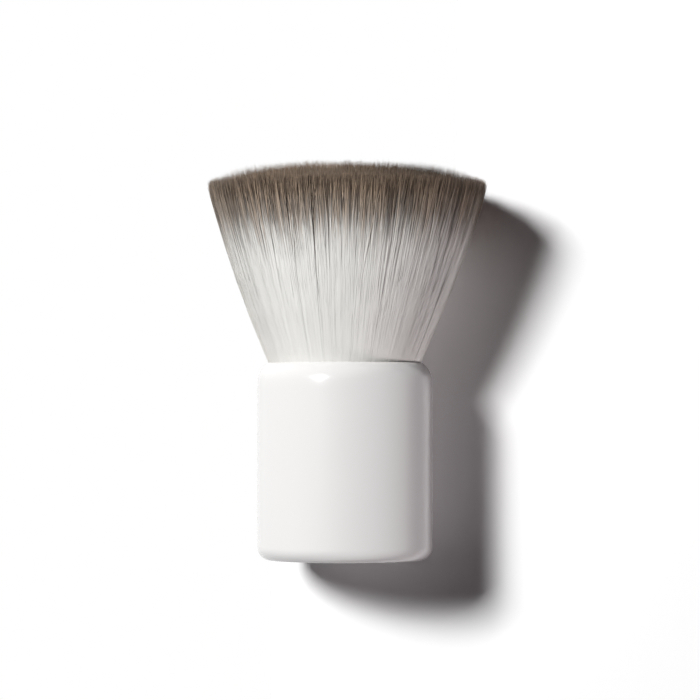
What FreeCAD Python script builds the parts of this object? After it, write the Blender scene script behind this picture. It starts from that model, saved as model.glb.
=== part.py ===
import FreeCAD, Part

import math
import os

import Sketcher

# A short kabuki makeup brush standing on its foot: +Z runs up the axis to the filament tips

doc = FreeCAD.newDocument("kabuki_brush")
sheet = doc.addObject("Spreadsheet::Sheet", "Sizes")

# Driving sizes, in millimetres, and counts
driving_sizes = {
    # Handle shell
    "handle_diameter": 32.0,
    "handle_wall": 1.9,
    "handle_floor": 2.4,
    "shoulder_radius": 4.4,
    "foot_radius": 2.5,
    "rim_chamfer": 0.15,
    "push_up_diameter": 19.0,
    "push_up_depth": 0.5,
    # Ballast weight on its pad
    "pad_thickness": 0.8,
    "pad_inset": 0.8,
    "ballast_height": 8.5,
    "ballast_chamfer": 0.7,
    "ballast_clearance": 0.2,
    "ballast_play": 0.3,
    # Inner carrier
    "carrier_clearance": 0.1,
    "carrier_skirt": 1.3,
    "carrier_plate": 1.8,
    "carrier_lead_in": 0.5,
    "vent_diameter": 5.0,
    "rib_count": 8,
    "rib_depth": 1.1,
    "rib_width": 1.2,
    "rib_lead_in": 1.0,
    # Ferrule cup and the glue round its foot
    "ferrule_clearance": 0.1,
    "ferrule_wall": 0.5,
    "ferrule_height": 19.0,
    "ferrule_recess": 3.2,
    "ferrule_chamfer": 1.2,
    "glue_film": 0.05,
    # Potted and bound roots
    "plug_floor": 2.0,
    "plug_wall": 2.1,
    "plug_rise": 3.5,
    "thread_diameter": 0.7,
    "thread_turns": 6,
    "thread_rise": 0.6,
    # Filament tuft
    "collar_clearance": 0.3,
    "head_diameter": 50.8,
    "free_length": 31.7,
    "crown_height": 4.0,
    "crown_power": 6,
    "crown_flat_diameter": 23.0,
    "lock_count": 56,
    "lock_groove_depth": 0.7,
}
for row, (alias, amount) in enumerate(driving_sizes.items(), start=1):
    sheet.set(f"A{row}", alias)
    sheet.set(f"B{row}", str(amount))
    sheet.setAlias(f"B{row}", alias)
doc.recompute()


class Size:
    """A length worked out from the sheet: the expression that binds it and its present value."""

    def __init__(self, text, value):
        self.text = text
        self.value = value

    def combine(self, sign, other, value):
        return Size(f"({self.text} {sign} {other.text})", value)

    def __add__(self, other):
        return self.combine("+", other, self.value + other.value)

    def __sub__(self, other):
        return self.combine("-", other, self.value - other.value)

    def __mul__(self, other):
        return self.combine("*", other, self.value * other.value)

    def half(self):
        return Size(f"({self.text} / 2)", self.value / 2)

    def root(self):
        return Size(f"sqrt({self.text})", math.sqrt(self.value))


def sized(alias):
    """The size that the sheet holds under an alias."""
    return Size(f"Sizes.{alias}", float(sheet.get(alias)))


AXIS = Size("0", 0.0)
GROUND = Size("0", 0.0)


def new_body(label):
    body = doc.addObject("PartDesign::Body", label)
    body.Label = label
    return body


def origin_feature(body, role):
    return next(feature for feature in body.Origin.OriginFeatures if feature.Role == role)


def new_sketch(body, name, role):
    sketch = body.newObject("Sketcher::SketchObject", name)
    sketch.AttachmentSupport = [(origin_feature(body, role), "")]
    sketch.MapMode = "FlatFace"
    return sketch


def bind(sketch, kind, edge, end, size):
    """Hold an edge's end at a distance from the sketch's origin that follows the sheet."""
    index = sketch.addConstraint(Sketcher.Constraint(kind, -1, 1, edge, end, size.value))
    sketch.setExpression(f"Constraints[{index}]", size.text)


def tangent_centre(start, heading, finish):
    """Centre of the arc that leaves start along heading and ends at finish."""
    chord = finish - start
    across = FreeCAD.Vector(-heading.y, heading.x, 0)
    return start + across * (chord.dot(chord) / (2 * across.dot(chord)))


def draw_outline(sketch, corners):
    """Draw a closed outline from (x, y, edge) corners, where edge names what leaves the corner.

    A "line" is straight and an "arc" is tangent to the edge before it.
    """
    points = [FreeCAD.Vector(x.value, y.value, 0) for x, y, _ in corners]
    ends = []
    heading = None
    for index, (_, _, edge) in enumerate(corners):
        start = points[index]
        finish = points[(index + 1) % len(points)]
        if edge == "line":
            sketch.addGeometry(Part.LineSegment(start, finish))
            heading = (finish - start).normalize()
            ends.append((1, 2))
            continue
        centre = tangent_centre(start, heading, finish)
        circle = Part.Circle(centre, FreeCAD.Vector(0, 0, 1), (start - centre).Length)
        turns_left = (start - centre).cross(finish - centre).z > 0
        first, last = (start, finish) if turns_left else (finish, start)
        angles = [math.atan2(point.y - centre.y, point.x - centre.x) for point in (first, last)]
        sketch.addGeometry(Part.ArcOfCircle(circle, *angles))
        spoke = (finish - centre).normalize()
        heading = FreeCAD.Vector(-spoke.y, spoke.x, 0) if turns_left else FreeCAD.Vector(spoke.y, -spoke.x, 0)
        ends.append((1, 2) if turns_left else (2, 1))
    for index, (x, y, edge) in enumerate(corners):
        start = ends[index][0]
        joint = "Tangent" if edge == "arc" else "Coincident"
        before = (index - 1) % len(corners)
        sketch.addConstraint(Sketcher.Constraint(joint, before, ends[before][1], index, start))
        if x is AXIS:
            sketch.addConstraint(Sketcher.Constraint("PointOnObject", index, start, -2))
        else:
            bind(sketch, "DistanceX", index, start, x)
        if y is GROUND:
            sketch.addConstraint(Sketcher.Constraint("PointOnObject", index, start, -1))
        else:
            bind(sketch, "DistanceY", index, start, y)


def turned_body(label, corners):
    """A body whose (radius, height, edge) outline is turned about the brush's axis."""
    body = new_body(label)
    sketch = new_sketch(body, f"{label}_outline", "XZ_Plane")
    draw_outline(sketch, corners)
    turning = body.newObject("PartDesign::Revolution", f"{label}_turning")
    turning.Profile = sketch
    turning.ReferenceAxis = (sketch, ["V_Axis"])
    turning.Angle = 360
    return body


def pattern_round_axis(body, feature, count):
    """Repeat a feature round the brush's axis, as often as the sheet says."""
    pattern = body.newObject("PartDesign::PolarPattern", f"{feature.Name}_pattern")
    pattern.Originals = [feature]
    pattern.Axis = (origin_feature(body, "Z_Axis"), [""])
    pattern.Angle = 360
    pattern.setExpression("Occurrences", count.text)
    body.Tip = pattern
    return pattern


# Levels up the axis: each piece stands on the one below it
cup_floor = sized("handle_floor")
pad_top = cup_floor + sized("pad_thickness")
ballast_top = pad_top + sized("ballast_height")
plate_underside = ballast_top + sized("ballast_play")
plate_top = plate_underside + sized("carrier_plate")
ferrule_floor = plate_top + sized("ferrule_wall")
ferrule_mouth = plate_top + sized("ferrule_height")
handle_rim = ferrule_mouth + sized("ferrule_recess")
root_seat = ferrule_floor + sized("plug_floor")
plug_top = root_seat + sized("plug_rise")

# Radii from the outside in
handle_radius = sized("handle_diameter").half()
bore_radius = handle_radius - sized("handle_wall")
carrier_radius = bore_radius - sized("carrier_clearance")
skirt_bore = carrier_radius - sized("carrier_skirt")
rib_tip = skirt_bore - sized("rib_depth")
ballast_radius = rib_tip - sized("ballast_clearance")
pad_radius = ballast_radius - sized("pad_inset")
ferrule_radius = bore_radius - sized("ferrule_clearance")
ferrule_bore = ferrule_radius - sized("ferrule_wall")
plug_radius = ferrule_bore - sized("glue_film")
root_radius = plug_radius - sized("plug_wall")


def make_handle_shell():
    """Moulded cup: rounded foot, straight side, and a shoulder arc that the bore cuts short at the rim."""
    foot = sized("foot_radius")
    shoulder = sized("shoulder_radius")
    chamfer = sized("rim_chamfer")
    push_up = sized("push_up_depth")
    push_up_radius = sized("push_up_diameter").half()
    shoulder_centre = handle_radius - shoulder
    rim_offset = bore_radius + chamfer - shoulder_centre
    shoulder_start = handle_rim - (shoulder * shoulder - rim_offset * rim_offset).root()
    return turned_body("handle_shell", [
        (AXIS, push_up, "line"),
        (push_up_radius - push_up, push_up, "line"),
        (push_up_radius, GROUND, "line"),
        (handle_radius - foot, GROUND, "arc"),
        (handle_radius, foot, "line"),
        (handle_radius, shoulder_start, "arc"),
        (bore_radius + chamfer, handle_rim, "line"),
        (bore_radius, handle_rim - chamfer, "line"),
        (bore_radius, cup_floor, "line"),
        (AXIS, cup_floor, "line"),
    ])


def make_ballast_pad():
    """Soft adhesive disc on the cup's floor."""
    return turned_body("ballast_pad", [
        (AXIS, cup_floor, "line"),
        (pad_radius, cup_floor, "line"),
        (pad_radius, pad_top, "line"),
        (AXIS, pad_top, "line"),
    ])


def make_ballast_weight():
    """Turned slug with chamfered edges, stuck to the pad."""
    chamfer = sized("ballast_chamfer")
    return turned_body("ballast_weight", [
        (AXIS, pad_top, "line"),
        (ballast_radius - chamfer, pad_top, "line"),
        (ballast_radius, pad_top + chamfer, "line"),
        (ballast_radius, ballast_top - chamfer, "line"),
        (ballast_radius - chamfer, ballast_top, "line"),
        (AXIS, ballast_top, "line"),
    ])


def make_inner_carrier():
    """Skirt that stands on the cup's floor round the weight, with centring ribs and a vented plate on top."""
    lead_in = sized("carrier_lead_in")
    vent_radius = sized("vent_diameter").half()
    body = turned_body("inner_carrier", [
        (skirt_bore, cup_floor, "line"),
        (carrier_radius - lead_in, cup_floor, "line"),
        (carrier_radius, cup_floor + lead_in, "line"),
        (carrier_radius, plate_top, "line"),
        (vent_radius, plate_top, "line"),
        (vent_radius, plate_underside, "line"),
        (skirt_bore, plate_underside, "line"),
    ])
    rib_foot = cup_floor + sized("rib_lead_in")
    skirt_middle = skirt_bore + sized("carrier_skirt").half()
    sketch = new_sketch(body, "rib_outline", "XZ_Plane")
    draw_outline(sketch, [
        (rib_tip, rib_foot, "line"),
        (skirt_middle, rib_foot, "line"),
        (skirt_middle, plate_underside, "line"),
        (rib_tip, plate_underside, "line"),
    ])
    rib = body.newObject("PartDesign::Pad", "rib")
    rib.Profile = sketch
    rib.SideType = "Symmetric"
    rib.setExpression("Length", sized("rib_width").text)
    pattern_round_axis(body, rib, sized("rib_count"))
    return body


# The drawn cup keeps about its wall's thickness round the chamfered bottom corner
inner_chamfer = sized("ferrule_chamfer") - sized("ferrule_wall").half()


def make_ferrule_cup():
    """Drawn cup with a chamfered bottom corner, standing on the carrier's plate."""
    chamfer = sized("ferrule_chamfer")
    return turned_body("ferrule_cup", [
        (AXIS, plate_top, "line"),
        (ferrule_radius - chamfer, plate_top, "line"),
        (ferrule_radius, plate_top + chamfer, "line"),
        (ferrule_radius, ferrule_mouth, "line"),
        (ferrule_bore, ferrule_mouth, "line"),
        (ferrule_bore, ferrule_floor + inner_chamfer, "line"),
        (ferrule_bore - inner_chamfer, ferrule_floor, "line"),
        (AXIS, ferrule_floor, "line"),
    ])


def make_ferrule_adhesive():
    """Cured glue that fills the corner between the ferrule's chamfer, the carrier's plate and the bore."""
    film = sized("glue_film")
    chamfer = sized("ferrule_chamfer")
    outside = bore_radius - film
    return turned_body("ferrule_adhesive", [
        (outside - chamfer, plate_top, "line"),
        (outside, plate_top, "line"),
        (outside, plate_top + chamfer, "line"),
    ])


def make_root_plug():
    """Cured resin dish, potted in the ferrule, that the filament roots stand in."""
    dish_radius = root_radius + sized("glue_film")
    return turned_body("root_plug", [
        (AXIS, ferrule_floor, "line"),
        (plug_radius - inner_chamfer, ferrule_floor, "line"),
        (plug_radius, ferrule_floor + inner_chamfer, "line"),
        (plug_radius, plug_top, "line"),
        (dish_radius, plug_top, "line"),
        (dish_radius, root_seat, "line"),
        (AXIS, root_seat, "line"),
    ])


# The winding's turns lie side by side on the straight roots, just above the resin
thread_foot = plug_top + sized("thread_rise")
binding_top = thread_foot + sized("thread_turns") * sized("thread_diameter")


def make_binding_thread():
    """Band of close turns wound round the roots before they are potted."""
    inside = root_radius + sized("glue_film")
    outside = inside + sized("thread_diameter")
    return turned_body("binding_thread", [
        (inside, thread_foot, "line"),
        (outside, thread_foot, "line"),
        (outside, binding_top, "line"),
        (inside, binding_top, "line"),
    ])


def arc_points(start, heading, finish, pieces):
    """Points that divide an arc leaving start along heading, without its start, and the heading at its end."""
    centre = tangent_centre(start, heading, finish)
    first = start - centre
    last = finish - centre
    turn = math.atan2(first.cross(last).z, first.dot(last))
    axis = FreeCAD.Vector(0, 0, 1)
    points = [centre + FreeCAD.Rotation(axis, math.degrees(turn * step / pieces)).multVec(first)
              for step in range(1, pieces + 1)]
    return points, FreeCAD.Rotation(axis, math.degrees(turn)).multVec(heading)


THROAT_STEPS = 2
FLARE_STEPS = 3
CROWN_STEPS = 6
CROWN_CROWDING = 1.5


def crown_points(rim):
    """Points in from the rim over the crown, whose steps crowd where it falls away fastest, at the rim."""
    flat = sized("crown_flat_diameter").half().value / rim.x
    rise = sized("crown_height").value
    power = sized("crown_power").value
    points = []
    for step in range(1, CROWN_STEPS + 1):
        share = 1 - (1 - flat) * (step / CROWN_STEPS) ** CROWN_CROWDING
        points.append(FreeCAD.Vector(rim.x * share, rim.y + rise * (1 - share ** power), 0))
    return points


def tuft_levels():
    """(radius, height) points up the tuft's outside, from its root to the flat of its crown."""
    root = FreeCAD.Vector(root_radius.value, root_seat.value, 0)
    waist = FreeCAD.Vector(root_radius.value, binding_top.value, 0)
    collar = FreeCAD.Vector((bore_radius - sized("collar_clearance")).value, handle_rim.value, 0)
    rim = FreeCAD.Vector(sized("head_diameter").half().value, (handle_rim + sized("free_length")).value, 0)
    throat, heading = arc_points(waist, FreeCAD.Vector(0, 1, 0), collar, THROAT_STEPS)
    flare, _ = arc_points(collar, heading, rim, FLARE_STEPS)
    return [root, waist] + throat + flare + crown_points(rim)


# Locks differ a little in breadth and depth, by a share of their own size that never repeats in step
GOLDEN_ANGLE = math.pi * (3 - math.sqrt(5))
LOCK_SWAY = 0.3


def lock_sway(lock, count):
    return LOCK_SWAY * math.sin(GOLDEN_ANGLE * (lock % count))


def lock_ring(level):
    """Corners round the axis at one level, with a ridge and a groove for each lock of filaments."""
    count = int(sized("lock_count").value)
    groove = sized("lock_groove_depth").value / sized("head_diameter").half().value
    ridges = [2 * math.pi * (lock + lock_sway(lock, count)) / count for lock in range(count + 1)]
    points = []
    for lock in range(count):
        ridge = ridges[lock]
        valley = (ridge + ridges[lock + 1]) / 2
        sunk = level.x * (1 - groove * (1 - lock_sway(lock, count)))
        points.append(FreeCAD.Vector(level.x * math.cos(ridge), level.x * math.sin(ridge), level.y))
        points.append(FreeCAD.Vector(sunk * math.cos(valley), sunk * math.sin(valley), level.y))
    return points


def flat_face(corners):
    return Part.Face(Part.makePolygon(corners + corners[:1]))


def make_bristle_tuft():
    """Filament bundle: straight bound root, flare out of the handle's mouth, rounded rim and low crown.

    Grooves that run from the root over the crown part it into locks.
    """
    rings = [lock_ring(level) for level in tuft_levels()]
    faces = [flat_face(rings[0]), flat_face(rings[-1])]
    for lower, upper in zip(rings, rings[1:]):
        for corner in range(len(lower)):
            faces.append(flat_face([lower[corner - 1], lower[corner], upper[corner], upper[corner - 1]]))
    skin = Part.makeShell(faces)
    skin.sewShape()
    tuft = doc.addObject("Part::Feature", "bristle_tuft")
    tuft.Label = "bristle_tuft"
    tuft.Shape = Part.makeSolid(skin)
    return tuft


pieces = [
    make_handle_shell(),
    make_ballast_pad(),
    make_ballast_weight(),
    make_inner_carrier(),
    make_ferrule_cup(),
    make_ferrule_adhesive(),
    make_root_plug(),
    make_binding_thread(),
    make_bristle_tuft(),
]
doc.recompute()

# Nothing is written unless every feature was rebuilt and every piece is one sound solid
for feature in doc.Objects:
    if "Invalid" in feature.State or "Error" in feature.State:
        raise RuntimeError(f"{feature.Label} failed: {feature.State}")
for piece in pieces:
    if piece.Shape.isNull() or not piece.Shape.isValid() or len(piece.Shape.Solids) != 1:
        raise RuntimeError(f"{piece.Label} is not one valid solid")

os.makedirs("parts", exist_ok=True)
for piece in pieces:
    piece.Shape.exportStep(f"parts/{piece.Label}.step")
    print(f"{piece.Label}: {piece.Shape.Volume:.1f} mm3")
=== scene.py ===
import math

import bpy
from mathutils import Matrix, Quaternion, Vector


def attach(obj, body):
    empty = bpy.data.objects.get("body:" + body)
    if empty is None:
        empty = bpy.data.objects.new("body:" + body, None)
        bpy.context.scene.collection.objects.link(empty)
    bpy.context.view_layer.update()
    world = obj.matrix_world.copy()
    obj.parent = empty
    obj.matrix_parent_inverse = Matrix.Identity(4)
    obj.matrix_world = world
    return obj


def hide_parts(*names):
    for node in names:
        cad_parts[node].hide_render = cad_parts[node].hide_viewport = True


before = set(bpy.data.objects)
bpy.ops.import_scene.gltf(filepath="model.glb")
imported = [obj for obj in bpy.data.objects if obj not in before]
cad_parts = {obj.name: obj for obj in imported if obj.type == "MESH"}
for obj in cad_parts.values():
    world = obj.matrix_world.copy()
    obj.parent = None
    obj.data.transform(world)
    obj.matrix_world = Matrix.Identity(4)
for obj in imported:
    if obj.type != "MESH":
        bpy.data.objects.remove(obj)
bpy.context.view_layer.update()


# Handle shell: a cup moulded in white plastic and polished, which holds every other piece.
# Its side runs straight up from a rounded foot, then eases into a tighter shoulder at the mouth.

MM = 0.001
HANDLE_RADIUS = 16.0
HANDLE_MOUTH = 14.1
HANDLE_RIM = 36.0
HANDLE_FLOOR = 2.4
FOOT_RADIUS = 2.5
PUSH_UP_RADIUS = 9.5
PUSH_UP_DEPTH = 0.5
RIM_CHAMFER = 0.15
EASE_LEVEL = 31.4
EASE_RADIUS = 18.0
EASE_TURN = math.radians(5)
HANDLE_SIDES = 192


def arc_to(outline, heading, finish, steps):
    """Carry an outline on by the arc that leaves its last point along heading and ends at finish."""
    start = Vector(outline[-1])
    chord = Vector(finish) - start
    across = Vector((-heading[1], heading[0]))
    centre = start + across * (chord.dot(chord) / (2 * across.dot(chord)))
    spoke = start - centre
    turn = -spoke.angle_signed(Vector(finish) - centre)
    for step in range(1, steps + 1):
        angle = turn * step / steps
        cosine, sine = math.cos(angle), math.sin(angle)
        point = centre + Vector((spoke.x * cosine - spoke.y * sine, spoke.x * sine + spoke.y * cosine))
        outline.append((point.x, point.y))


def turned(name, outline, sides):
    """A smooth mesh turned about Z from (radius, height) points in millimetres, closed at the axis."""
    places = []
    rings = []
    for radius, height in outline:
        count = sides if radius > 0 else 1
        rings.append([len(places) + side for side in range(count)])
        for side in range(count):
            angle = 2 * math.pi * side / sides
            places.append((radius * math.cos(angle) * MM, radius * math.sin(angle) * MM, height * MM))
    faces = []
    for low, high in zip(rings, rings[1:]):
        for side in range(sides):
            after = (side + 1) % sides
            under = [low[side % len(low)], low[after % len(low)]]
            above = [high[after % len(high)], high[side % len(high)]]
            faces.append(list(dict.fromkeys(under + above)))
    mesh = bpy.data.meshes.new(name)
    mesh.from_pydata(places, [], faces)
    mesh.shade_smooth()
    mesh.set_sharp_from_angle(angle=math.radians(35))
    piece = bpy.data.objects.new(name, mesh)
    bpy.context.scene.collection.objects.link(piece)
    return piece


handle_outline = [(0.0, PUSH_UP_DEPTH), (PUSH_UP_RADIUS - PUSH_UP_DEPTH, PUSH_UP_DEPTH)]
handle_outline.append((PUSH_UP_RADIUS, 0.0))
handle_outline.append((HANDLE_RADIUS - FOOT_RADIUS, 0.0))
arc_to(handle_outline, (1.0, 0.0), (HANDLE_RADIUS, FOOT_RADIUS), 14)
handle_outline.append((HANDLE_RADIUS, EASE_LEVEL / 2))
handle_outline.append((HANDLE_RADIUS, EASE_LEVEL))
eased_radius = HANDLE_RADIUS - EASE_RADIUS * (1 - math.cos(EASE_TURN))
eased_level = EASE_LEVEL + EASE_RADIUS * math.sin(EASE_TURN)
arc_to(handle_outline, (0.0, 1.0), (eased_radius, eased_level), 6)
eased_heading = (-math.sin(EASE_TURN), math.cos(EASE_TURN))
arc_to(handle_outline, eased_heading, (HANDLE_MOUTH + RIM_CHAMFER, HANDLE_RIM), 14)
handle_outline.append((HANDLE_MOUTH, HANDLE_RIM - RIM_CHAMFER))
handle_outline.append((HANDLE_MOUTH, HANDLE_FLOOR))
handle_outline.append((0.0, HANDLE_FLOOR))
handle = turned("handle", handle_outline, HANDLE_SIDES)


class Term:
    """A node's output, on which plain arithmetic adds Math nodes to the same tree."""

    def __init__(self, nodes, socket):
        self.nodes = nodes
        self.socket = socket

    def out(self, name):
        """Another output of the same node."""
        return Term(self.nodes, self.socket.node.outputs[name])

    def maths(self, operation, *values):
        return self.nodes.add("ShaderNodeMath", {"operation": operation}, dict(enumerate(values)))

    def __add__(self, other):
        return self.maths("ADD", self, other)

    def __radd__(self, other):
        return self.maths("ADD", other, self)

    def __sub__(self, other):
        return self.maths("SUBTRACT", self, other)

    def __rsub__(self, other):
        return self.maths("SUBTRACT", other, self)

    def __mul__(self, other):
        return self.maths("MULTIPLY", self, other)

    def __rmul__(self, other):
        return self.maths("MULTIPLY", other, self)

    def __truediv__(self, other):
        return self.maths("DIVIDE", self, other)

    def __rtruediv__(self, other):
        return self.maths("DIVIDE", other, self)

    def __pow__(self, other):
        return self.maths("POWER", self, other)

    def floor(self):
        return self.maths("FLOOR", self)

    def sine(self):
        return self.maths("SINE", self)

    def cosine(self):
        return self.maths("COSINE", self)

    def at_most(self, other):
        return self.maths("MINIMUM", self, other)

    def at_least(self, other):
        return self.maths("MAXIMUM", self, other)


class Nodes:
    """A node tree that is written as calls: each node made comes back as its output's Term."""

    def __init__(self, tree):
        self.tree = tree

    def add(self, kind, settings=None, inputs=None, output=0):
        node = self.tree.nodes.new(kind)
        for name, value in (settings or {}).items():
            if name == "stops":
                self.set_stops(node.color_ramp, value)
            else:
                setattr(node, name, value)
        for key, value in (inputs or {}).items():
            self.feed(node.inputs[key], value)
        return Term(self, node.outputs[output]) if node.outputs else node

    def set_stops(self, ramp, stops):
        while len(ramp.elements) < len(stops):
            ramp.elements.new(1.0)
        for element, (place, colour) in zip(ramp.elements, stops):
            element.position = place
            element.color = (*colour, 1.0)

    def feed(self, socket, value):
        if isinstance(value, Term):
            self.tree.links.new(value.socket, socket)
        elif socket.type == "RGBA" and len(value) == 3:
            socket.default_value = (*value, 1.0)
        else:
            socket.default_value = value

    def noise(self, scale, detail=2.0, roughness=0.5):
        """Noise of so many cells to the metre, on the piece's own coordinates."""
        place = self.add("ShaderNodeTexCoord", output="Object")
        return self.add("ShaderNodeTexNoise", None, {
            "Vector": place, "Scale": scale, "Detail": detail, "Roughness": roughness,
        })

    def blend(self, share, first, second):
        """A colour between two others."""
        return self.add("ShaderNodeMix", {"data_type": "RGBA"}, {0: share, 6: first, 7: second}, output=2)

    def bump(self, height, strength, distance):
        return self.add("ShaderNodeBump", None, {
            "Strength": strength, "Distance": distance, "Height": height,
        })


class Finish(Nodes):
    """A material: its shader's even values are set, and what varies is fed from nodes."""

    def __init__(self, name, values):
        self.material = bpy.data.materials.new(name)
        self.material.use_nodes = True
        super().__init__(self.material.node_tree)
        self.shader = self.tree.nodes["Principled BSDF"]
        self.set(values)

    def set(self, values):
        for name, value in values.items():
            self.feed(self.shader.inputs[name], value)

    def put_on(self, piece):
        piece.data.materials.clear()
        piece.data.materials.append(self.material)


polish = Finish("polished_white_plastic", {
    "IOR": 1.49, "Diffuse Roughness": 0.2, "Coat Weight": 0.4, "Coat Roughness": 0.04,
})
flow = polish.noise(60.0, 3.0)
ripple = polish.noise(420.0, 1.0)
scuff = polish.noise(2600.0, 4.0, 0.6)
polish.set({
    "Base Color": polish.blend(flow, (0.80, 0.793, 0.785), (0.825, 0.818, 0.81)),
    "Roughness": 0.15 + 0.05 * scuff,
    "Normal": polish.bump(ripple + 0.25 * scuff, 0.03, 0.0002),
})
polish.put_on(handle)
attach(handle, "root")
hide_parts("handle_shell")


# Ballast pad: a die-cut disc of dark closed-cell foam, sticky on both sides.
# It lies on the cup's floor and keeps the weight from rattling.

foam = Finish("closed_cell_foam", {"Roughness": 0.95})
cells = foam.noise(2400.0, 3.0, 0.7)
foam.set({
    "Base Color": foam.blend(cells, (0.10, 0.10, 0.11), (0.22, 0.22, 0.23)),
    "Normal": foam.bump(cells, 0.6, 0.0004),
})
foam.put_on(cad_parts["ballast_pad"])


# Ballast weight: a steel slug faced and chamfered on a lathe, stuck to the pad.
# The tool has left fine rings round its axis.

steel = Finish("turned_steel", {"Metallic": 1.0})
place = steel.add("ShaderNodeTexCoord", output="Object")
rings = steel.add("ShaderNodeTexWave", {"wave_type": "RINGS", "rings_direction": "Z"}, {
    "Vector": place, "Scale": 900.0, "Distortion": 0.6, "Detail": 2.0,
}, output="Fac")
stain = steel.noise(300.0, 4.0)
steel.set({
    "Base Color": steel.blend(stain, (0.50, 0.50, 0.51), (0.60, 0.60, 0.61)),
    "Roughness": 0.28 + 0.16 * rings,
    "Normal": steel.bump(rings, 0.25, 0.00005),
})
steel.put_on(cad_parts["ballast_weight"])


# Inner carrier: a ribbed sleeve moulded in natural plastic, pressed into the cup over the weight.
# Its ribs centre the weight and its vented plate carries the ferrule.

natural = Finish("natural_plastic", {"Roughness": 0.55})
grain = natural.noise(1500.0, 3.0)
cloud = natural.noise(120.0, 2.0)
natural.set({
    "Base Color": natural.blend(cloud, (0.68, 0.68, 0.65), (0.76, 0.76, 0.73)),
    "Normal": natural.bump(grain, 0.15, 0.0001),
})
natural.put_on(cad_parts["inner_carrier"])


# Ferrule cup: drawn from thin aluminium sheet, so fine lines run up its wall.
# It stands on the carrier's plate and holds the potted bristles.

drawn = Finish("drawn_aluminium", {"Metallic": 1.0})
place = drawn.add("ShaderNodeTexCoord", output="Object")
drawn_out = drawn.add("ShaderNodeMapping", None, {"Vector": place, "Scale": (1.0, 1.0, 0.04)})
lines = drawn.add("ShaderNodeTexNoise", None, {"Vector": drawn_out, "Scale": 3000.0, "Detail": 3.0})
drawn.set({
    "Base Color": drawn.blend(lines, (0.72, 0.72, 0.73), (0.84, 0.84, 0.85)),
    "Roughness": 0.22 + 0.2 * lines,
    "Normal": drawn.bump(lines, 0.2, 0.00005),
})
drawn.put_on(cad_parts["ferrule_cup"])


# Ferrule adhesive: a bead of amber epoxy squeezed into the corner under the ferrule.
# It sets to a slightly cloudy, uneven skin.

epoxy = Finish("cured_epoxy", {"Roughness": 0.35})
cloud = epoxy.noise(700.0, 3.0)
epoxy.set({
    "Base Color": epoxy.blend(cloud, (0.74, 0.66, 0.46), (0.86, 0.80, 0.66)),
    "Normal": epoxy.bump(cloud, 0.3, 0.0003),
})
epoxy.put_on(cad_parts["ferrule_adhesive"])


# Root plug: casting resin poured round the bristles' roots in the ferrule.
# Small bubbles set in it near the top.

resin = Finish("casting_resin", {"Roughness": 0.2})
place = resin.add("ShaderNodeTexCoord", output="Object")
bubbles = resin.add("ShaderNodeTexVoronoi", None, {"Vector": place, "Scale": 900.0}, output="Distance")
tint = resin.noise(200.0, 2.0)
resin.set({
    "Base Color": resin.blend(tint, (0.62, 0.50, 0.30), (0.76, 0.66, 0.46)),
    "Normal": resin.bump(bubbles, 0.3, 0.0002),
})
resin.put_on(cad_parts["root_plug"])


# Binding thread: pale cotton wound in close turns round the roots before they are potted.
# Each turn is a two-ply twist, so its surface runs in slanting ridges.

cotton = Finish("wound_cotton", {"Roughness": 0.9})
place = cotton.add("ShaderNodeTexCoord", output="Object")
turns = cotton.add("ShaderNodeTexWave", {"bands_direction": "Z"}, {
    "Vector": place, "Scale": 450.0,
}, output="Fac")
fuzz = cotton.noise(3500.0, 3.0)
cotton.set({
    "Base Color": cotton.blend(fuzz, (0.78, 0.77, 0.72), (0.90, 0.89, 0.85)),
    "Normal": cotton.bump(turns + 0.4 * fuzz, 0.7, 0.0003),
})
cotton.put_on(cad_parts["binding_thread"])


# Bristles: thousands of fine synthetic filaments, white, with their tips dipped in brown dye.
# Bound straight at the root, they flare out of the mouth and are cut to a low dome.
# An outer coat runs the whole free length, and the crown fills in the tips within it. The crown's strands
# are given a darker tone: painted shade on tips that stand up into the light.

COLLAR_RADIUS = 13.9
HEAD_RADIUS = 25.4
HEAD_RIM = 68.6
FLARE = 0.45
BEND = (HEAD_RADIUS - COLLAR_RADIUS - FLARE * (HEAD_RIM - HANDLE_RIM)) / (HEAD_RIM - HANDLE_RIM) ** 2
CROWN_TOP = 71.9
CROWN_POWER = 5.0
ROOT_DEPTH = 4.0


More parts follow.
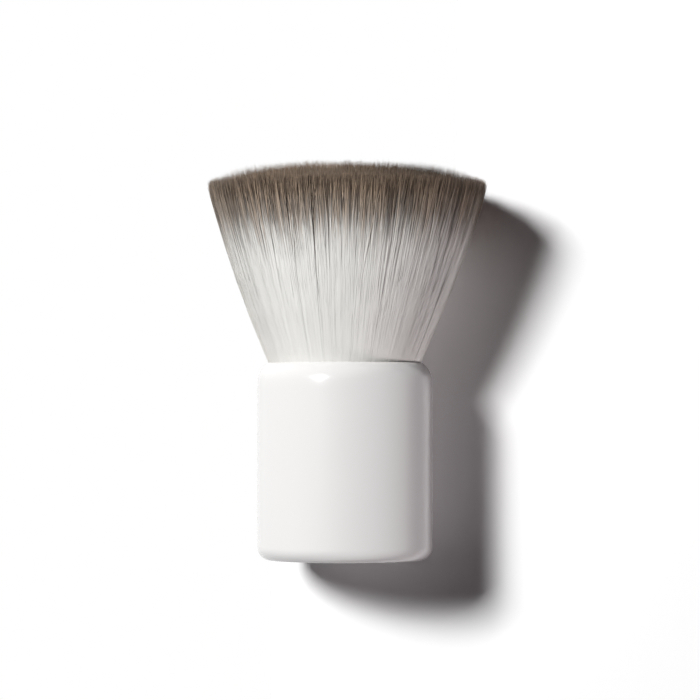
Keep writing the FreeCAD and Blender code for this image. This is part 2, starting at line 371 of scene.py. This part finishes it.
def bristle_tree():
    """Geometry nodes that grow strands, each an instance of one prism, and shape them to the head."""
    tree = bpy.data.node_groups.new("bristles", "GeometryNodeTree")
    nodes = Nodes(tree)
    kinds = {
        "Strands": "Int", "Seed": "Int", "Segments": "Int", "First Angle": "Float", "Sweep": "Float",
        "Inner Share": "Float", "Outer Share": "Float", "Gather": "Float", "Start Height": "Float",
        "Collar Level": "Float", "Collar Radius": "Float", "Flare": "Float", "Bend": "Float",
        "Crown Height": "Float", "Crown Drop": "Float", "Crown Power": "Float", "Width": "Float",
        "Dyed Length": "Float", "Dye Spread": "Float", "Tip Spread": "Float", "Locks": "Float",
        "Lock Pull": "Float", "Lock Depth": "Float", "Stray": "Float", "Lean": "Float", "Tone": "Float",
        "Finish": "Material",
    }
    for name, kind in kinds.items():
        tree.interface.new_socket(name, in_out="INPUT", socket_type=f"NodeSocket{kind}")
    tree.interface.new_socket("Mesh", in_out="OUTPUT", socket_type="NodeSocketGeometry")
    entry = nodes.add("NodeGroupInput")
    given = {name: entry.out(name) for name in kinds}

    def chance(low, high, salt, which=None):
        """A number drawn for each strand, or for each value of which."""
        inputs = {2: low, 3: high, 8: given["Seed"] + salt}
        if which is not None:
            inputs[7] = which
        return nodes.add("FunctionNodeRandomValue", {"data_type": "FLOAT"}, inputs, output=1)

    # What each strand keeps: where it stands, its lock, its length, its dye line and its tone, which is
    # darker on the crown as painted shade
    angle = given["First Angle"] + given["Sweep"] * chance(0.0, 1.0, 1)
    inner = given["Inner Share"] ** 2.0
    share = (inner + (given["Outer Share"] ** 2.0 - inner) * chance(0.0, 1.0, 2)) ** 0.5
    place = angle * given["Locks"] / (2 * math.pi)
    place = place + 0.45 * (angle * 7.0).sine() + 0.3 * (angle * 17.0).sine()
    lock = place.floor()
    pull = (lock + 0.5 - place) * (2 * math.pi) / given["Locks"] * given["Lock Pull"]
    crown = given["Crown Height"] - given["Crown Drop"] * share ** given["Crown Power"]
    stray = chance(-1.0, 1.0, 3) + chance(-1.0, 1.0, 4)
    tip_shift = chance(-1.0, 0.6, 8) + 0.3 * chance(-1.0, 1.0, 9, lock)
    dye_shift = chance(-1.0, 1.0, 10) + 0.2 * chance(-1.0, 1.0, 11, lock)
    kept = {
        "angle": angle,
        "share": share,
        "pull": pull + given["Stray"] * stray * stray * stray,
        "tuck": given["Lock Depth"] * (chance(-1.0, 0.6, 5, lock) + 0.8 * chance(-1.0, 1.0, 6)),
        "bow": given["Stray"] * chance(-1.0, 1.0, 7),
        "reach": crown + given["Tip Spread"] * tip_shift,
        "dyed": given["Dyed Length"] + given["Dye Spread"] * dye_shift,
        # A strand's tone is scaled by its piece's Tone; the crown's lower Tone is painted shade
        "tone": given["Tone"] * (0.5 + 0.42 * chance(-1.0, 1.0, 12) + 0.08 * chance(-1.0, 1.0, 13, lock)),
        "wave": given["Stray"] * chance(-0.8, 0.8, 14),
        "girth": given["Width"] * chance(0.4, 0.7, 15),
        "twist": chance(-1.0, 1.0, 16),
        "fan": given["Stray"] * chance(-2.0, 2.0, 17),
    }
    strands = nodes.add("GeometryNodePoints", None, {"Count": given["Strands"]})
    for name, value in kept.items():
        strands = nodes.add("GeometryNodeStoreNamedAttribute", {"data_type": "FLOAT", "domain": "POINT"}, {
            "Geometry": strands, "Name": name, "Value": value,
        })
    prism = nodes.add("GeometryNodeMeshCylinder", {"fill_type": "NONE"}, {
        "Vertices": 3, "Side Segments": given["Segments"], "Radius": 1.0, "Depth": 1.0,
    })
    strands = nodes.add("GeometryNodeInstanceOnPoints", None, {"Points": strands, "Instance": prism})
    strands = nodes.add("GeometryNodeRealizeInstances", None, {"Geometry": strands})
    own = {}
    for name in kept:
        own[name] = nodes.add("GeometryNodeInputNamedAttribute", {"data_type": "FLOAT"}, {"Name": name})
    corner = nodes.add("ShaderNodeSeparateXYZ", None, {"Vector": nodes.add("GeometryNodeInputPosition")})
    over, side, along = corner.out("X"), corner.out("Y"), corner.out("Z") + 0.5

    # A strand's colour depends on its tone, darker on the crown as painted shade, across the map, and on how
    # far up it lies, up the map
    on_map = nodes.add("ShaderNodeCombineXYZ", None, {
        "X": 0.02 + 0.95 * own["tone"] + 0.01 * over + 0.005 * side, "Y": 0.01 + 0.98 * along,
    })
    for name in ("strand", "OFBake"):
        strands = nodes.add("GeometryNodeStoreNamedAttribute", {"data_type": "FLOAT2", "domain": "CORNER"}, {
            "Geometry": strands, "Name": name, "Value": on_map,
        })

    # Half of a strand's rings lie below its dye line and half above it
    dye_line = 1.0 - own["dyed"] / (own["reach"] - given["Start Height"])
    rise = along.at_most(0.5) * 2.0 * dye_line + (along - 0.5).at_least(0.0) * 2.0 * (1.0 - dye_line)
    height = given["Start Height"] + (own["reach"] - given["Start Height"]) * rise
    spread = given["Collar Radius"] + given["Flare"] * height + given["Bend"] * height * height
    swell = (rise * math.pi).sine()
    sway = (rise * (2 * math.pi)).sine()
    loose = given["Gather"] + (1.0 - given["Gather"]) * rise * rise
    share = 1.0 - (1.0 - own["share"]) * loose
    relief = 0.12 + 0.16 * rise + 0.72 * rise * rise
    radius = spread * (share + own["tuck"] * relief + 0.1 * own["bow"] * swell)
    turn = own["angle"] + own["pull"] * rise * rise + own["fan"] * rise ** 3.0
    turn = turn + own["bow"] * swell + own["wave"] * sway

    # Each strand is three-sided, tapers to its tip, and turns one flat side outwards
    girth = own["girth"] * (1.0 - 0.97 * rise ** 20.0)
    twist = own["twist"] * rise * rise - math.pi / 3
    outward = girth * (over * twist.cosine() - side * twist.sine())
    sideways = girth * (over * twist.sine() + side * twist.cosine())
    radius = radius + 0.3 * outward
    position = nodes.add("ShaderNodeCombineXYZ", None, {
        "X": radius * turn.cosine() - sideways * turn.sine() + given["Lean"] * height,
        "Y": radius * turn.sine() + sideways * turn.cosine(),
        "Z": given["Collar Level"] + height,
    })
    strands = nodes.add("GeometryNodeSetPosition", None, {"Geometry": strands, "Position": position})
    strands = nodes.add("GeometryNodeSetShadeSmooth", None, {"Geometry": strands, "Shade Smooth": False})
    strands = nodes.add("GeometryNodeRealizeInstances", None, {"Geometry": strands})
    strands = nodes.add("GeometryNodeSetMaterial", None, {"Geometry": strands, "Material": given["Finish"]})
    nodes.add("NodeGroupOutput", None, {"Mesh": strands})
    return tree


def grown(name, tree, sizes):
    """A piece grown by a tree from its named sizes, left as a plain mesh."""
    piece = bpy.data.objects.new(name, bpy.data.meshes.new(name))
    bpy.context.scene.collection.objects.link(piece)
    growth = piece.modifiers.new(name, "NODES")
    growth.node_group = tree
    for socket in tree.interface.items_tree:
        if socket.in_out == "INPUT":
            growth[socket.identifier] = sizes[socket.name]
    surroundings = bpy.context.evaluated_depsgraph_get()
    mesh = bpy.data.meshes.new_from_object(piece.evaluated_get(surroundings))
    piece.modifiers.remove(growth)
    piece.data = mesh
    mesh.name = name
    for attribute in [item.name for item in mesh.attributes if item.data_type == "FLOAT"]:
        mesh.attributes.remove(mesh.attributes[attribute])
    return piece


filament = Finish("dip_dyed_filament", {
    "Roughness": 0.5, "Specular IOR Level": 0.35,
    "Sheen Weight": 0.45, "Sheen Roughness": 0.4, "Sheen Tint": (1.0, 0.93, 0.85),
})
on_map = filament.add("ShaderNodeUVMap", {"uv_map": "strand"})
on_map = filament.add("ShaderNodeSeparateXYZ", None, {"Vector": on_map})
# Across the map comes each strand's tone, with the crown's painted shade in it
tone, along = on_map.out("X"), on_map.out("Y")
patches = filament.add("ShaderNodeCombineXYZ", None, {"X": 90.0 * tone, "Y": 16.0 * along})
patches = filament.add("ShaderNodeTexNoise", None, {"Vector": patches, "Scale": 1.0, "Detail": 1.0})
shade = (tone + 0.5 * (patches - 0.5) - 0.2 * (along - 0.5).at_least(0.0)).at_least(0.0)
white = filament.blend(tone, (0.865, 0.86, 0.828), (0.895, 0.89, 0.86))
brown = filament.blend(shade ** 1.5, (0.05, 0.031, 0.019), (0.55, 0.415, 0.30))
dye = filament.add("ShaderNodeValToRGB", {"stops": [
    (0.435, (0.0, 0.0, 0.0)), (0.50, (0.12, 0.12, 0.12)), (0.60, (0.5, 0.5, 0.5)),
    (0.715, (0.86, 0.86, 0.86)), (0.89, (1.0, 1.0, 1.0)),
]}, {"Fac": along})
filament.set({"Base Color": filament.blend(dye, white, brown)})

tree = bristle_tree()
shared_sizes = {
    "Collar Level": HANDLE_RIM * MM, "Collar Radius": COLLAR_RADIUS * MM, "Flare": FLARE, "Bend": BEND / MM,
    "Crown Height": (CROWN_TOP - HANDLE_RIM) * MM, "Crown Drop": (CROWN_TOP - HEAD_RIM) * MM,
    "Crown Power": CROWN_POWER, "Dyed Length": 10.8 * MM, "Dye Spread": 2.2 * MM,
    "Locks": 150.0, "Lock Pull": 0.35, "Stray": 0.016, "Lean": 0.016, "Finish": filament.material,
}
tuft = []
COAT_PIECES = 7
for number in range(COAT_PIECES):
    tuft.append(grown(f"bristle_coat_{number + 1}", tree, shared_sizes | {
        "Strands": 4000, "Seed": 100 * number, "Segments": 8,
        "First Angle": 2 * math.pi * number / COAT_PIECES, "Sweep": 2 * math.pi / COAT_PIECES,
        "Inner Share": 0.965, "Outer Share": 1.0, "Gather": 0.3, "Start Height": -ROOT_DEPTH * MM,
        "Width": 0.15 * MM, "Lock Depth": 0.014, "Tip Spread": 0.9 * MM, "Tone": 1.0,
    }))
# The crown's Tone of 0.85 is painted shade: it darkens strands whose tips stand out into the light at the
# top.
CROWN_PIECES = 3
for number in range(CROWN_PIECES):
    tuft.append(grown(f"bristle_crown_{number + 1}", tree, shared_sizes | {
        "Strands": 12000, "Seed": 1000 + 100 * number, "Segments": 2,
        "First Angle": 2 * math.pi * number / CROWN_PIECES, "Sweep": 2 * math.pi / CROWN_PIECES,
        "Inner Share": 0.0, "Outer Share": 0.985, "Gather": 1.0, "Start Height": 20.0 * MM,
        "Width": 0.2 * MM, "Lock Depth": 0.0, "Tip Spread": 0.8 * MM, "Tone": 0.85,
    }))
for piece in tuft:
    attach(piece, "root")
    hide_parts("bristle_tuft")


# Bristle core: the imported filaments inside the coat, seen only as what lies between the strands.
# It follows the same flare a little way in, and turns brown from about the strands' dye line up.

CORE_SHARE = 0.955
CORE_DROP = 0.9
CORE_STEPS = 8
core_outline = [(0.0, HANDLE_RIM - ROOT_DEPTH)]
for step in range(CORE_STEPS + 1):
    rise = -ROOT_DEPTH + (HEAD_RIM - HANDLE_RIM - CORE_DROP + ROOT_DEPTH) * step / CORE_STEPS
    spread = COLLAR_RADIUS + FLARE * rise + BEND * rise * rise
    core_outline.append((CORE_SHARE * spread, HANDLE_RIM + rise))
for step in range(1, CORE_STEPS + 1):
    share = 1 - step / CORE_STEPS
    top = CROWN_TOP - CORE_DROP - (CROWN_TOP - HEAD_RIM) * share ** CROWN_POWER
    core_outline.append((CORE_SHARE * HEAD_RADIUS * share, top))
core = turned("bristle_core", core_outline, 96)
packed = Finish("packed_filament", {"Roughness": 0.8})
place = packed.add("ShaderNodeTexCoord", output="Object")
level = packed.add("ShaderNodeSeparateXYZ", None, {"Vector": place}, output="Z")
dyed = packed.add("ShaderNodeMapRange", None, {
    "Value": level, "From Min": 0.0595, "From Max": 0.0675, "To Min": 0.0, "To Max": 1.0,
})
streaks = packed.add("ShaderNodeMapping", None, {"Vector": place, "Scale": (1.0, 1.0, 0.03)})
streaks = packed.add("ShaderNodeTexNoise", None, {"Vector": streaks, "Scale": 4000.0, "Detail": 2.0})
pale = packed.blend(streaks, (0.70, 0.69, 0.66), (0.86, 0.85, 0.82))
dark = packed.blend(streaks, (0.11, 0.08, 0.057), (0.19, 0.143, 0.105))
packed.set({"Base Color": packed.blend(dyed, pale, dark)})
packed.put_on(core)
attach(core, "root")
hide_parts("bristle_tuft")


# Table: the white sheet that the brush lies on, straight behind it as the camera looks down.
# It just clears the handle, is cut out where the head sinks into it, and is clear from behind.
# Only the side that takes the shadow is made, and it neither shades nor lights the brush.

TABLE_GAP = 16.3
TABLE_TURN = math.radians(4)
TABLE_LEFT = -15.0
TABLE_RIGHT = 300.0
TABLE_LOW = -270.0
TABLE_HIGH = 330.0
SLOT_RIGHT = 21.0
CUT_OUT_SHARE = 1.02
CUT_OUT_STEPS = 32
table_outline = [(TABLE_LEFT, TABLE_LOW), (TABLE_RIGHT, TABLE_LOW)]
table_outline += [(TABLE_RIGHT, TABLE_HIGH), (SLOT_RIGHT, TABLE_HIGH)]
sunk = []
for step in range(CUT_OUT_STEPS + 1):
    rise = (HEAD_RIM - HANDLE_RIM) * step / CUT_OUT_STEPS
    spread = COLLAR_RADIUS + FLARE * rise + BEND * rise * rise
    if spread > TABLE_GAP:
        sunk.append((CUT_OUT_SHARE * math.sqrt(spread ** 2 - TABLE_GAP ** 2), HANDLE_RIM + rise))
table_outline += reversed(sunk)
table_outline += [(-half, level) for half, level in sunk if -half > TABLE_LEFT]
table_outline.append((TABLE_LEFT, table_outline[-1][1]))
inward = Vector((math.sin(TABLE_TURN), math.cos(TABLE_TURN), 0.0))
across = Vector((math.cos(TABLE_TURN), -math.sin(TABLE_TURN), 0.0))
corners = []
for right, level in table_outline:
    corners.append((TABLE_GAP * inward + right * across + Vector((0.0, 0.0, level))) * MM)
table_mesh = bpy.data.meshes.new("table")
table_mesh.from_pydata(corners, [], [range(len(corners))])
table = bpy.data.objects.new("table", table_mesh)
bpy.context.scene.collection.objects.link(table)
table_finish = bpy.data.materials.new("white_table")
table_finish.use_nodes = True
paint = Nodes(table_finish.node_tree)
paint.tree.nodes.clear()
ray = paint.add("ShaderNodeLightPath", output="Is Camera Ray")
shown = paint.add("ShaderNodeBsdfDiffuse", None, {"Color": (1.11, 1.11, 1.11)})
lit = paint.add("ShaderNodeBsdfDiffuse", None, {"Color": (0.8, 0.8, 0.8)})
front = paint.add("ShaderNodeMixShader", None, {0: ray, 1: lit, 2: shown})
clear = paint.add("ShaderNodeBsdfTransparent")
behind = paint.add("ShaderNodeNewGeometry", output="Backfacing")
sheet = paint.add("ShaderNodeMixShader", None, {0: behind, 1: front, 2: clear})
paint.add("ShaderNodeOutputMaterial", None, {"Surface": sheet})
table_mesh.materials.append(table_finish)
table.visible_shadow = False
table.visible_diffuse = False


# Studio: a square softbox hung corner down at the upper left, a card that throws some light back from
# the lower right, and a soft lamp for the back. Straight views and reflections meet a white room.

LIT_POINT = Vector((0.0, 0.0, 0.035))
for name, turn, rise, distance, side, roll, power, mirrored, tint in (
    ("softbox", -34.0, 18.5, 2.0, 0.44, 45.0, 46.0, True, (1.0, 1.0, 1.0)),
    ("low_card", 96.0, -38.0, 1.6, 0.5, 0.0, 15.0, False, (1.0, 0.92, 0.94)),
    ("back_lamp", 222.0, 20.0, 2.0, 0.8, 0.0, 18.0, False, (1.0, 1.0, 1.0)),
):
    turn, rise = math.radians(turn), math.radians(rise)
    towards = Vector((math.sin(turn) * math.cos(rise), -math.cos(turn) * math.cos(rise), math.sin(rise)))
    panel = bpy.data.lights.new(name, "AREA")
    panel.shape = "SQUARE"
    panel.size = side
    panel.energy = power
    panel.color = tint
    lamp = bpy.data.objects.new(name, panel)
    lamp.rotation_mode = "QUATERNION"
    lamp.location = LIT_POINT + distance * towards
    rolled = Quaternion((0.0, 0.0, 1.0), math.radians(roll))
    lamp.rotation_quaternion = towards.to_track_quat("Z", "Y") @ rolled
    lamp.visible_glossy = mirrored
    bpy.context.scene.collection.objects.link(lamp)

room = bpy.data.worlds.new("white_room")
room.use_nodes = True
bpy.context.scene.world = room
walls = Nodes(room.node_tree)
walls.tree.nodes.clear()
ray = walls.add("ShaderNodeLightPath", output="Is Camera Ray")
seen = ray.at_least(ray.out("Is Glossy Ray")).at_least(ray.out("Is Transmission Ray"))
colour = walls.blend(seen, (0.012, 0.008, 0.011), (1.0, 1.0, 1.0))
light = walls.add("ShaderNodeBackground", None, {"Color": colour, "Strength": 1.0})
walls.add("ShaderNodeOutputWorld", None, {"Surface": light})


# Camera: far back on a long lens, level with the handle's upper half.
# It looks straight at the side, as the photograph does from above the table.

CAMERA_DISTANCE = 0.640
CAMERA_LEVEL = 0.0256
AIM = Vector((0.00096, 0.0, 0.0384))
lens = bpy.data.cameras.new("camera")
lens.sensor_width = 36.0
lens.lens = 180.0
lens.clip_start = 0.05
lens.clip_end = 10.0
camera = bpy.data.objects.new("camera", lens)
camera.location = (AIM.x, -CAMERA_DISTANCE, CAMERA_LEVEL)
camera.rotation_mode = "QUATERNION"
camera.rotation_quaternion = (AIM - camera.location).to_track_quat("-Z", "Y")
bpy.context.scene.collection.objects.link(camera)
bpy.context.scene.camera = camera
bpy.context.scene.view_settings.view_transform = "Standard"
